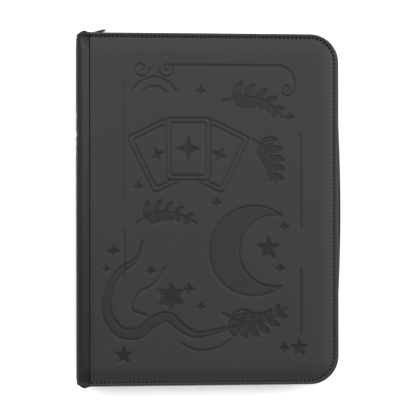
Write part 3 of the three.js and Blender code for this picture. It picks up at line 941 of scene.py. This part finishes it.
def spine_hem(half):
    """The leather's ends, turned in between the shoulder and the lining to close the fold."""
    outer, lining = shoulder(0.6), lining_path()
    outer = outer[outer[:, 1] > SHOULDER_START]
    lining = lining[lining[:, 1] > LINING_TURN][:13]
    along, at = np.linspace(0, 1, len(outer)), np.linspace(0, 1, len(lining))
    near = np.column_stack([np.interp(along, at, column) for column in lining.T])
    px, pw = np.vstack([outer, near]).T
    end = np.minimum(spine_reach(px) - 1.0, HEM_END)
    faces = slab_faces(2, len(outer))
    parts = []
    for sign, outside in ((1, faces), (-1, turned(faces))):
        layers = [points_of(SPINE_X + px, sign * y, settle(px, pw, y)) for y in (end, end - 0.6)]
        parts.append((np.vstack(layers), outside))
    piece = make_piece(f"spine_hem_{half}", *join_parts(parts), spine_leather, half)
    bend_at_fold(piece)


def end_tab(name, node, sign):
    """A folded leather tab that closes one end of the spine between the zipper tapes."""
    low, high = box_mm(node)
    left, right = low[0] - 0.1, high[0] + 0.3
    reach = (high[2] - low[2]) / 2 + 0.4
    px = np.linspace(left, right, 8)
    pw = np.linspace(-reach, reach, 24)[:, None]
    across = np.sin(np.pi * (px - left) / (right - left))
    bulge = 0.5 * np.cos(np.pi / 2 * pw / reach) * across + 0.12 * np.sin(pw * 1.7)
    verts = [points_of(px, sign * (WALL_Y + out), pw) for out in (0.35 + bulge, -0.35)]
    faces = slab_faces(len(pw), len(px))
    piece = make_piece(name, verts, turned(faces) if sign > 0 else faces, spine_leather)
    belongs(piece, "spine_leather", "spine", node)


spine_half("front", "spine_flap_front", "spine_leather")
spine_half("back", "spine_flap_back")
for half in HALVES:
    hinge_lining(half)
    spine_hem(half)
end_tab("spine_end_tab_head", "spine_end_tab_top", 1)
end_tab("spine_end_tab_tail", "spine_end_tab_bottom", -1)

# ---- zipper ----------------------------------------------

TAPE_STEP = 2.0
TEETH_PITCH = 1.6
TEETH_FROM = 17.4
TOOTH = [(-0.34, 2.5), (0.34, 2.5), (0.36, 1.0), (0.5, 0.2), (0.42, -0.62), (0.2, -0.85),
         (-0.2, -0.85), (-0.42, -0.62), (-0.5, 0.2), (-0.36, 1.0)]
TOOTH_MIDDLE_W = 0.8
PULL_SWELL = 1.1
PULL_REST = math.radians(11)


def fore_edge_share(y):
    """How much of the fore-edge's bulge there is at a distance along it, from 0 to 1."""
    straight = WALL_Y - (CORNER - WALL_INSET)
    share = np.cos(np.pi * np.asarray(y) / (2 * straight))
    return np.where(np.abs(y) < straight, share, 0.0)


def zipper_path(start, pitch, offset=0.0):
    """Evenly spaced points and outward normals along the zipper, from the head to the tail."""
    radius = CORNER - WALL_INSET
    right, corner_x, corner_y = EDGE_X - WALL_INSET, CORNER_X, WALL_Y - radius
    head = np.column_stack([np.linspace(SPINE_X + start, corner_x, 120), np.full(120, WALL_Y)])
    corner = arc((corner_x, corner_y), radius, 90, 0)
    y = np.linspace(corner_y, -corner_y, 160)
    side = np.column_stack([right + BOW * fore_edge_share(y), y])
    head = np.vstack([head, corner[1:]])
    line = np.vstack([head, side[1:], (head[::-1] * (1, -1))[1:]])
    length = np.concatenate([[0], np.cumsum(np.linalg.norm(np.diff(line, axis=0), axis=1))])
    count = int(length[-1] / pitch)
    at = (np.arange(count) + 0.5 + offset) * length[-1] / (count + 0.5)
    points = np.column_stack([np.interp(at, length, line[:, 0]), np.interp(at, length, line[:, 1])])
    return points, left_of(points)


def zipper_tape(half):
    """A woven tape that stands as the case's wall and turns in under the cover to be sewn."""
    points, normals = zipper_path(tape_low[0] - SPINE_X, TAPE_STEP)
    top, foot = tape_high[2] - MID_Z, 0.6
    levels = np.linspace(FOLD_OUT_W, top - 1.0, 8)
    section = [(0.4, foot), (0.45, 2.6), *[(0.4, h) for h in levels], (0.15, top - 0.2),
               (-0.3, top), (-7.5, top), (-7.5, top - 0.4), (-0.6, top - 0.4),
               *[(-0.4, h) for h in levels[::-1]], (-0.4, foot)]
    verts = sweep(points, normals, section)
    level = verts[:, :, 2]
    travel = np.arange(len(points))[:, None] * TAPE_STEP
    belly = 0.35 * np.sin(np.pi * np.clip(level / top, 0, 1)) * (1 + 0.5 * np.sin(travel / 37.0))
    verts[:, :, :2] += normals[:, None] * belly[:, :, None]
    lift = smooth((level - FOLD_OUT_W) / (top - 1.0 - FOLD_OUT_W))
    verts[:, :, 0] -= (BOW - RIM_BOW) * fore_edge_share(points[:, 1])[:, None] * lift
    faces = turned(loft_faces(len(points), len(section)))
    piece = make_piece(f"zipper_tape_woven_{half}", verts, faces, tape_cloth, half)
    belongs(piece, "zipper_tape", f"{half}_cover", f"zipper_tape_{half}")


def coil_teeth(half):
    """The row of teeth: each is a rounded bar whose head reaches past the middle plane between two
    heads of the other row."""
    points, normals = zipper_path(TEETH_FROM, TEETH_PITCH, 0.5 if half == "back" else 0.0)
    layers = [(-1.15, 0.6, 0.92), (-0.9, 1.0, 1.0), (0.9, 1.0, 1.0), (1.15, 0.6, 0.92)]
    out, wide, tall = np.array(layers).T[:, :, None]
    along, w = np.array(TOOTH).T
    along = along * wide
    height = TOOTH_MIDDLE_W + (w - TOOTH_MIDDLE_W) * tall
    faces = turned(loft_faces(len(layers), len(TOOTH)))
    parts = []
    for (px, py), (nx, ny) in zip(points, normals):
        verts = points_of(px + nx * out + ny * along, py + ny * out - nx * along, height)
        parts.append((verts, faces))
    piece = make_piece(f"zipper_coil_{half}", *join_parts(parts), coil, half, smooth_shade=False)
    belongs(piece, "zipper_teeth", f"{half}_cover", f"zipper_teeth_{half}")


def flat_part(name, loops, thickness, bevel):
    """A flat metal part with rounded edges. loops are outlines in (x, w), holes included; the part
    stands in the X-Z plane with its thickness along Y, about y = 0."""
    curve = bpy.data.curves.new(name, "CURVE")
    curve.dimensions = "2D"
    curve.fill_mode = "BOTH"
    curve.extrude = (thickness / 2 - bevel) * MM
    curve.bevel_depth = bevel * MM
    curve.bevel_resolution = 2
    curve.offset = -bevel * MM
    for loop in loops:
        spline = curve.splines.new("POLY")
        spline.points.add(len(loop) - 1)
        for point, (px, pw) in zip(spline.points, loop):
            point.co = (px * MM, pw * MM, 0, 1)
        spline.use_cyclic_u = True
    shape = link_new(name + "_curve", curve)
    bpy.context.view_layer.update()
    depsgraph = bpy.context.evaluated_depsgraph_get()
    mesh = bpy.data.meshes.new_from_object(shape.evaluated_get(depsgraph))
    bpy.data.objects.remove(shape)
    mesh.transform(Matrix.Rotation(math.pi / 2, 4, "X"))
    mesh.name = name
    mesh.shade_smooth()
    mesh.materials.clear()
    mesh.materials.append(enamel)
    return link_new(name, mesh)


def place(piece, y, angle=0.0, pivot=(0.0, 0.0)):
    """Moves a flat part to its height and distance, turned about Z at a pivot."""
    centre = Matrix.Translation(Vector((*pivot, MID_Z)) * MM)
    turn = centre @ Matrix.Rotation(angle, 4, "Z")
    piece.data.transform(turn @ Matrix.Translation(Vector((0, y, 0)) * MM))
    keep_rest(piece.data)


def mirrored(outline):
    """An outline that starts away from the middle plane and ends on it, with its mirror image."""
    return outline + [(px, -pw) for px, pw in outline[-2::-1]]


def slider():
    """The slider's two plates, its flanges and its post, as one casting."""
    x0, x1 = slider_low[0], slider_high[0]
    inner_y, outer_y = slider_low[1], slider_high[1]
    half = (slider_high[2] - slider_low[2]) / 2
    outline = mirrored([(x1, half * 0.72), (x1 - 3.2, half * 0.78), (x0 + 3.6, half),
                        (x0 + 1.0, half * 0.96), (x0, half * 0.6), (x0 + 1.3, 0)])
    plate = []
    for k, point in enumerate(outline):
        before, after = outline[k - 1], outline[(k + 1) % len(outline)]
        for (tx, tw), share in ((before, 0.22), (before, 0.08), (after, 0.08), (after, 0.22)):
            plate.append((point[0] + (tx - point[0]) * share, point[1] + (tw - point[1]) * share))
    parts = []

    def cast(loop, depth, bevel, y):
        part = flat_part("casting", [loop], depth, bevel)
        place(part, y)
        mesh = part.data
        parts.append(([tuple(v.co / MM) for v in mesh.vertices],
                      [tuple(f.vertices) for f in mesh.polygons]))
        bpy.data.objects.remove(part)

    for y in (outer_y - 0.5, inner_y + 0.5):
        cast(plate, 1.0, 0.22, y)
    for w in (0.55 - half, half - 0.55):
        for y in (outer_y - 0.85, inner_y + 0.85):
            cast(round_rect((x0 + 1.2, w - 0.45), (x1 - 1.0, w + 0.45), 0.4), 1.7, 0.2, y)
    post = round_rect((x0 + 0.9, -0.24), (x0 + 3.0, 0.24), 0.2)
    cast(post, outer_y - inner_y - 0.6, 0.05, (outer_y + inner_y) / 2)
    verts, faces = join_parts(parts)
    verts -= (0, 0, MID_Z)
    body = make_piece("zipper_slider_casting", verts, faces, enamel, smooth_shade=False)
    belongs(body, "hardware", "slider", "zipper_slider_body")


def bail():
    """The low arch on the slider that holds the pull tab."""
    low, high = box_mm("zipper_slider_bail")
    middle, reach, rise = (low[0] + high[0]) / 2, (high[0] - low[0]) / 2, high[1] - low[1]
    foot, half = low[1], (high[2] - low[2]) / 2 - 0.02

    def arch(wide, tall, start, end):
        return arc((0, 0), 1, start, end, 20) * (wide, tall) + (middle, foot)

    loop = [(low[0], foot), *arch(reach, rise, 180, 0), (high[0], foot),
            *arch(reach - 0.75, rise - 0.5, 0, 180)]
    verts = [(px, py, w) for w in (-half, half) for px, py in loop]
    count = len(loop)
    faces = grid_faces(2, count, closed=True)
    faces += [tuple(range(count)), tuple(range(2 * count - 1, count - 1, -1))]
    piece = make_piece("zipper_pull_bail", verts, faces, enamel, smooth_shade=False)
    rounded = piece.modifiers.new("round", "BEVEL")
    rounded.width = 0.14 * MM
    rounded.segments = 2
    rounded.limit_method = "ANGLE"
    belongs(piece, "hardware", "slider", "zipper_slider_bail")


def pull():
    """The pull tab: an eye round the bail, a waist, and a tab that widens to a thicker tip."""
    joint = next(j for j in frame["joints"] if j["name"] == "pull_swing")
    pivot = np.array(joint["pos_m"]) / MM
    low, high = box_mm("zipper_pull_tab")
    half = (high[2] - low[2]) / 2
    length = (high[0] - pivot[0]) / math.cos(PULL_REST)
    eye_end, tip = 5.2, 2.6
    outline = mirrored([
        (-0.45, half * 0.6), (0.0, half * 0.78), (eye_end - 1, half * 0.78),
        (eye_end + 1.2, half * 0.5), (eye_end + 3.0, half * 0.55), (length - 3.6, half * 0.9),
        *[tuple(p) for p in arc((length - tip, 0), tip, 68, 0, 8)],
    ])
    eye = round_rect((0.45, -1.25), (eye_end - 0.6, 1.25), 0.5, 4)[::-1]
    window = round_rect((length - 7.2, -0.75), (length - 3.0, 0.75), 0.7, 4)[::-1]
    tab = flat_part("zipper_pull_tab_cast", [outline, eye, window], 0.95, 0.2)
    for v in tab.data.vertices:
        v.co.y *= 1 + PULL_SWELL * smooth((v.co.x / MM - eye_end) / 5.0)
    place(tab, 0.0, PULL_REST, (pivot[0], pivot[1]))
    belongs(tab, "hardware", "pull", "zipper_pull_tab")


for half in HALVES:
    zipper_tape(half)
    coil_teeth(half)
slider()
bail()
pull()

# ---- pages -----------------------------------------------

BINDING_MARGIN = 24.0
LEAF_EDGE = 2.0
LEAF_CORNER = 4.0
LEAF_HINGE = 7.0
POCKETS = 3
WELD = 1.8
WELD_W = 0.26
FILM_W = 0.33

leaf_left, leaf_right, leaf_half = leaf_low[0], leaf_high[0], leaf_high[1]
pocket_left = leaf_left + BINDING_MARGIN


def pocket_lines(start, end):
    """Grid positions across three pockets, with the weld lines' edges among them."""
    out = []
    width = (end - start) / POCKETS
    for k in range(POCKETS):
        a, b = start + k * width + WELD / 2, start + (k + 1) * width - WELD / 2
        out += [a - WELD / 2, a - 0.15, a + 0.5, *np.linspace(a + 4, b - 4, 7), b - 0.5, b + 0.15]
    out.append(end)
    return out


def page_relief(x, y):
    """Height of the film above the leaf's middle, and 1 where it is welded: low on the welds and at
    the hinge line, a little full in the pockets."""
    width = (leaf_right - LEAF_EDGE - pocket_left) / POCKETS
    height = 2 * (leaf_half - LEAF_EDGE) / POCKETS
    u, v = (x - pocket_left) / width, (y + leaf_half - LEAF_EDGE) / height
    fu, fv = u - np.floor(u), v - np.floor(v)
    edge = np.minimum(np.minimum(fu, 1 - fu) * width, np.minimum(fv, 1 - fv) * height)
    outside = (u <= 0) | (u >= POCKETS) | (v <= 0) | (v >= POCKETS)
    welded = outside | (edge < WELD / 2)
    full = np.minimum(1.0, (edge - WELD / 2) / 5.0)
    crown = np.sin(np.pi * fu) * np.sin(np.pi * fv)
    flat = WELD_W - 0.12 * bell(x - leaf_left - LEAF_HINGE, 0.8)
    return np.where(welded, flat, FILM_W + 0.07 * full + 0.045 * crown), welded


def leaf_mesh():
    """A pocket leaf about w = 0: its points, its faces, and where it is welded."""
    hinge = [leaf_left + d for d in (0, 3, LEAF_HINGE - 0.8, LEAF_HINGE, LEAF_HINGE + 0.8, 16)]
    xs = [*hinge, *pocket_lines(pocket_left, leaf_right - LEAF_EDGE), leaf_right]
    ys = [-leaf_half, *pocket_lines(LEAF_EDGE - leaf_half, leaf_half - LEAF_EDGE), leaf_half]
    x, y = np.meshgrid(xs, ys)
    height, welded = page_relief(x, y)
    over = np.clip(np.abs(y) - (leaf_half - LEAF_CORNER), 0, LEAF_CORNER)
    cut = LEAF_CORNER - np.sqrt(LEAF_CORNER**2 - over**2)
    verts = [points_of(np.minimum(x, leaf_right - cut), y, side * height) for side in (1, -1)]
    return np.vstack(verts), slab_faces(*x.shape), [welded, welded]


leaf_verts, leaf_faces, leaf_weld = leaf_mesh()
for name in sorted(n for n in frame["nodes"] if n.startswith("leaf_")):
    low, high = box_mm(name)
    verts = leaf_verts + (0, 0, (low[2] + high[2]) / 2 - MID_Z)
    page = make_piece(name.replace("leaf", "pocket_page"), verts, leaf_faces, film)
    mark(page, "weld", leaf_weld)
    belongs(page, "leaf", name, name)

# ---- finishes of the CAD nodes that stay -----------------

finishes = {"foam": foam, "board": board, "page_gusset": binding_cloth,
            "binding_tape": binding_cloth, "stop": enamel_cad}
for name, node in frame["nodes"].items():
    for key, finish in finishes.items():
        if key in name and not node.hide_render:
            node.data.materials.clear()
            node.data.materials.append(finish)

# ---- floor, light and camera -----------------------------

FLOOR_SIZE = 3.0
FLOOR_GAP = 0.0002
WORLD_BRIGHT_SIDE = (2.0, 2.3, 1.0)
WORLD_FROM = (0.4, 1.45)
WORLD_TO = (0.5, 2.5)
LEAN = math.radians(4.1)
ROLL = math.radians(-0.06)
DISTANCE = 1.25
VIEW_WIDTH = 0.4217
AIM = Vector((-0.0005, -0.0007, 0.036))


def floor():
    n = Nodes("floor_paper", rest=False)
    n.set(base_color=n.colours(n.noise(3), (0.88, 0.88, 0.88), (0.9, 0.9, 0.9)), roughness=0.85)
    mesh = bpy.data.meshes.new("floor")
    corners = [(x * FLOOR_SIZE, y * FLOOR_SIZE, 0) for x, y in ((-1, -1), (1, -1), (1, 1), (-1, 1))]
    mesh.from_pydata(corners, [], [(0, 1, 2, 3)])
    mesh.materials.append(n.material)
    plane = link_new("floor", mesh)
    plane.location.z = -FLOOR_GAP


def studio():
    """A white room that is brightest towards the head and the right, and dimmest on the other side."""
    world = bpy.data.worlds.new("studio")
    world.use_nodes = True
    tree = world.node_tree
    where = tree.nodes.new("ShaderNodeTexCoord")
    weigh = tree.nodes.new("ShaderNodeVectorMath")
    weigh.operation = "DOT_PRODUCT"
    weigh.inputs[1].default_value = WORLD_BRIGHT_SIDE
    shade = tree.nodes.new("ShaderNodeMapRange")
    for key, value in zip(("From Min", "From Max", "To Min", "To Max"), (*WORLD_FROM, *WORLD_TO)):
        shade.inputs[key].default_value = value
    background = tree.nodes["Background"]
    background.inputs["Color"].default_value = (1, 1, 1, 1)
    tree.links.new(where.outputs["Generated"], weigh.inputs[0])
    tree.links.new(weigh.outputs["Value"], shade.inputs["Value"])
    tree.links.new(shade.outputs["Result"], background.inputs["Strength"])
    scene.world = world


def area_light(name, place_m, aim, size, power):
    light = bpy.data.lights.new(name, "AREA")
    light.shape = "RECTANGLE"
    light.size, light.size_y = size
    light.energy = power
    lamp = link_new(name, light)
    lamp.location = place_m
    direction = Vector(aim) - Vector(place_m)
    lamp.rotation_euler = direction.to_track_quat("-Z", "Y").to_euler()


def camera():
    """Looks down on the binder, leaning a little towards the spine."""
    data = bpy.data.cameras.new("camera")
    data.sensor_width = 36.0
    data.clip_end = 20.0
    data.lens = data.sensor_width * DISTANCE / VIEW_WIDTH
    item = link_new("camera", data)
    item.location = AIM + DISTANCE * Vector((-math.sin(LEAN), 0, math.cos(LEAN)))
    item.rotation_mode = "QUATERNION"
    turn = Matrix.Rotation(-LEAN, 3, "Y") @ Matrix.Rotation(ROLL, 3, "Z")
    item.rotation_quaternion = turn.to_quaternion()
    scene.camera = item


floor()
studio()
area_light("key", (-1.2, 0.5, 1.4), (0, 0, 0), (1.0, 1.0), 22)
area_light("side", (1.3, 0.45, 0.75), (0.1, 0.05, 0), (0.6, 1.0), 5)
area_light("fill", (0.0, -1.3, 0.45), (0, -0.15, 0), (1.2, 0.5), 5)
camera()
scene.view_settings.view_transform = "Standard"
